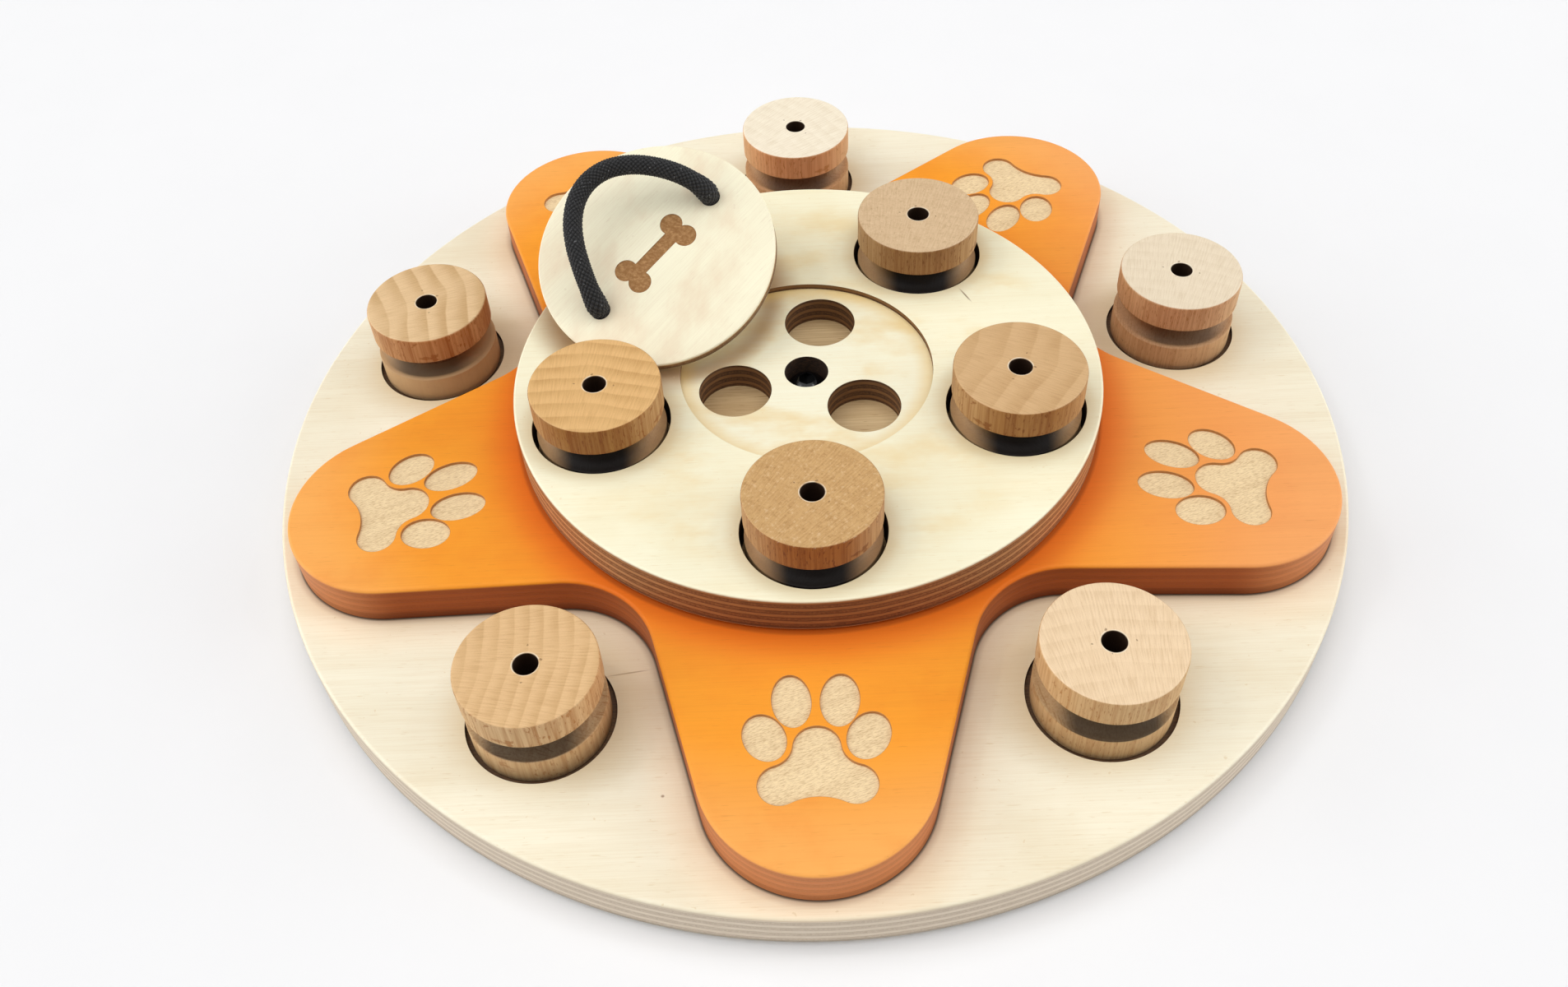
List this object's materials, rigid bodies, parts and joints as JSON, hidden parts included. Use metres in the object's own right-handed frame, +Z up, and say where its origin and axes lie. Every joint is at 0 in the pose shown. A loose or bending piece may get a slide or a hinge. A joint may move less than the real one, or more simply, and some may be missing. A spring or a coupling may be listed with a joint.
{
  "type": "dog puzzle feeder toy",
  "caption": "Round wooden treat puzzle for dogs: a base board with a painted star, a spinning disc with treat cups, grooved lift-out pegs and a lid with a rope handle.",
  "frame": {"origin": "on the pivot axis, at the level that the foot pads stand on", "axes": "+Z up along the pivot bolt, -Y towards the star arm at the front, +X to the right"},
  "size_m": [0.3, 0.3, 0.0778],
  "materials": {
    "birch_plywood": "fine sanded pale birch, plies showing at the edge",
    "orange_board": "satin orange paint, bare wood in the engraved paw prints",
    "beech": "turned beech, bare",
    "lid_plywood": "thin pale plywood, bare",
    "black_rope": "braided polyester cord",
    "black_steel": "black oxide, glossy",
    "zinc_steel": "bright zinc plating",
    "nylon": "smooth natural nylon",
    "foot_rubber": "matte self-adhesive pad"
  },
  "bodies": {
    "base": {"base_board": "birch_plywood", "star_board": "orange_board", "pivot_bolt": "black_steel", "head_washer": "zinc_steel", "slip_washer": "nylon", "tee_nut": "zinc_steel", "star_screws": "zinc_steel", "foot_1": "foot_rubber", "foot_2": "foot_rubber", "foot_3": "foot_rubber", "foot_4": "foot_rubber", "foot_5": "foot_rubber"},
    "turntable": {"turntable": "birch_plywood"},
    "base_peg_1": {"base_peg_1": "beech"},
    "base_peg_2": {"base_peg_2": "beech"},
    "base_peg_3": {"base_peg_3": "beech"},
    "base_peg_4": {"base_peg_4": "beech"},
    "base_peg_5": {"base_peg_5": "beech"},
    "turntable_peg_1": {"turntable_peg_1": "beech"},
    "turntable_peg_2": {"turntable_peg_2": "beech"},
    "turntable_peg_3": {"turntable_peg_3": "beech"},
    "turntable_peg_4": {"turntable_peg_4": "beech"},
    "turntable_peg_5": {"turntable_peg_5": "beech"},
    "lid": {"lid": "lid_plywood", "rope_handle": "black_rope"}
  },
  "joints": [
    {"name": "turntable_spin", "type": "hinge", "parent": "base", "child": "turntable", "pos_m": [0, 0, 0.0261], "axis": [0, 0, 1], "continuous": true},
    {"name": "base_peg_1_lift", "type": "slide", "parent": "base", "child": "base_peg_1", "axis": [0, 0, 1], "range_m": [0, 0.03]},
    {"name": "base_peg_2_lift", "type": "slide", "parent": "base", "child": "base_peg_2", "axis": [0, 0, 1], "range_m": [0, 0.03]},
    {"name": "base_peg_3_lift", "type": "slide", "parent": "base", "child": "base_peg_3", "axis": [0, 0, 1], "range_m": [0, 0.03]},
    {"name": "base_peg_4_lift", "type": "slide", "parent": "base", "child": "base_peg_4", "axis": [0, 0, 1], "range_m": [0, 0.03]},
    {"name": "base_peg_5_lift", "type": "slide", "parent": "base", "child": "base_peg_5", "axis": [0, 0, 1], "range_m": [0, 0.03]},
    {"name": "turntable_peg_1_lift", "type": "slide", "parent": "turntable", "child": "turntable_peg_1", "axis": [0, 0, 1], "range_m": [0, 0.03]},
    {"name": "turntable_peg_2_lift", "type": "slide", "parent": "turntable", "child": "turntable_peg_2", "axis": [0, 0, 1], "range_m": [0, 0.03]},
    {"name": "turntable_peg_3_lift", "type": "slide", "parent": "turntable", "child": "turntable_peg_3", "axis": [0, 0, 1], "range_m": [0, 0.03]},
    {"name": "turntable_peg_4_lift", "type": "slide", "parent": "turntable", "child": "turntable_peg_4", "axis": [0, 0, 1], "range_m": [0, 0.03]},
    {"name": "turntable_peg_5_lift", "type": "slide", "parent": "turntable", "child": "turntable_peg_5", "axis": [0, 0, 1], "range_m": [0, 0.03]},
    {"name": "lid_lift", "type": "slide", "parent": "turntable_peg_5", "child": "lid", "axis": [0, 0, 1], "range_m": [0, 0.06]}
  ]
}
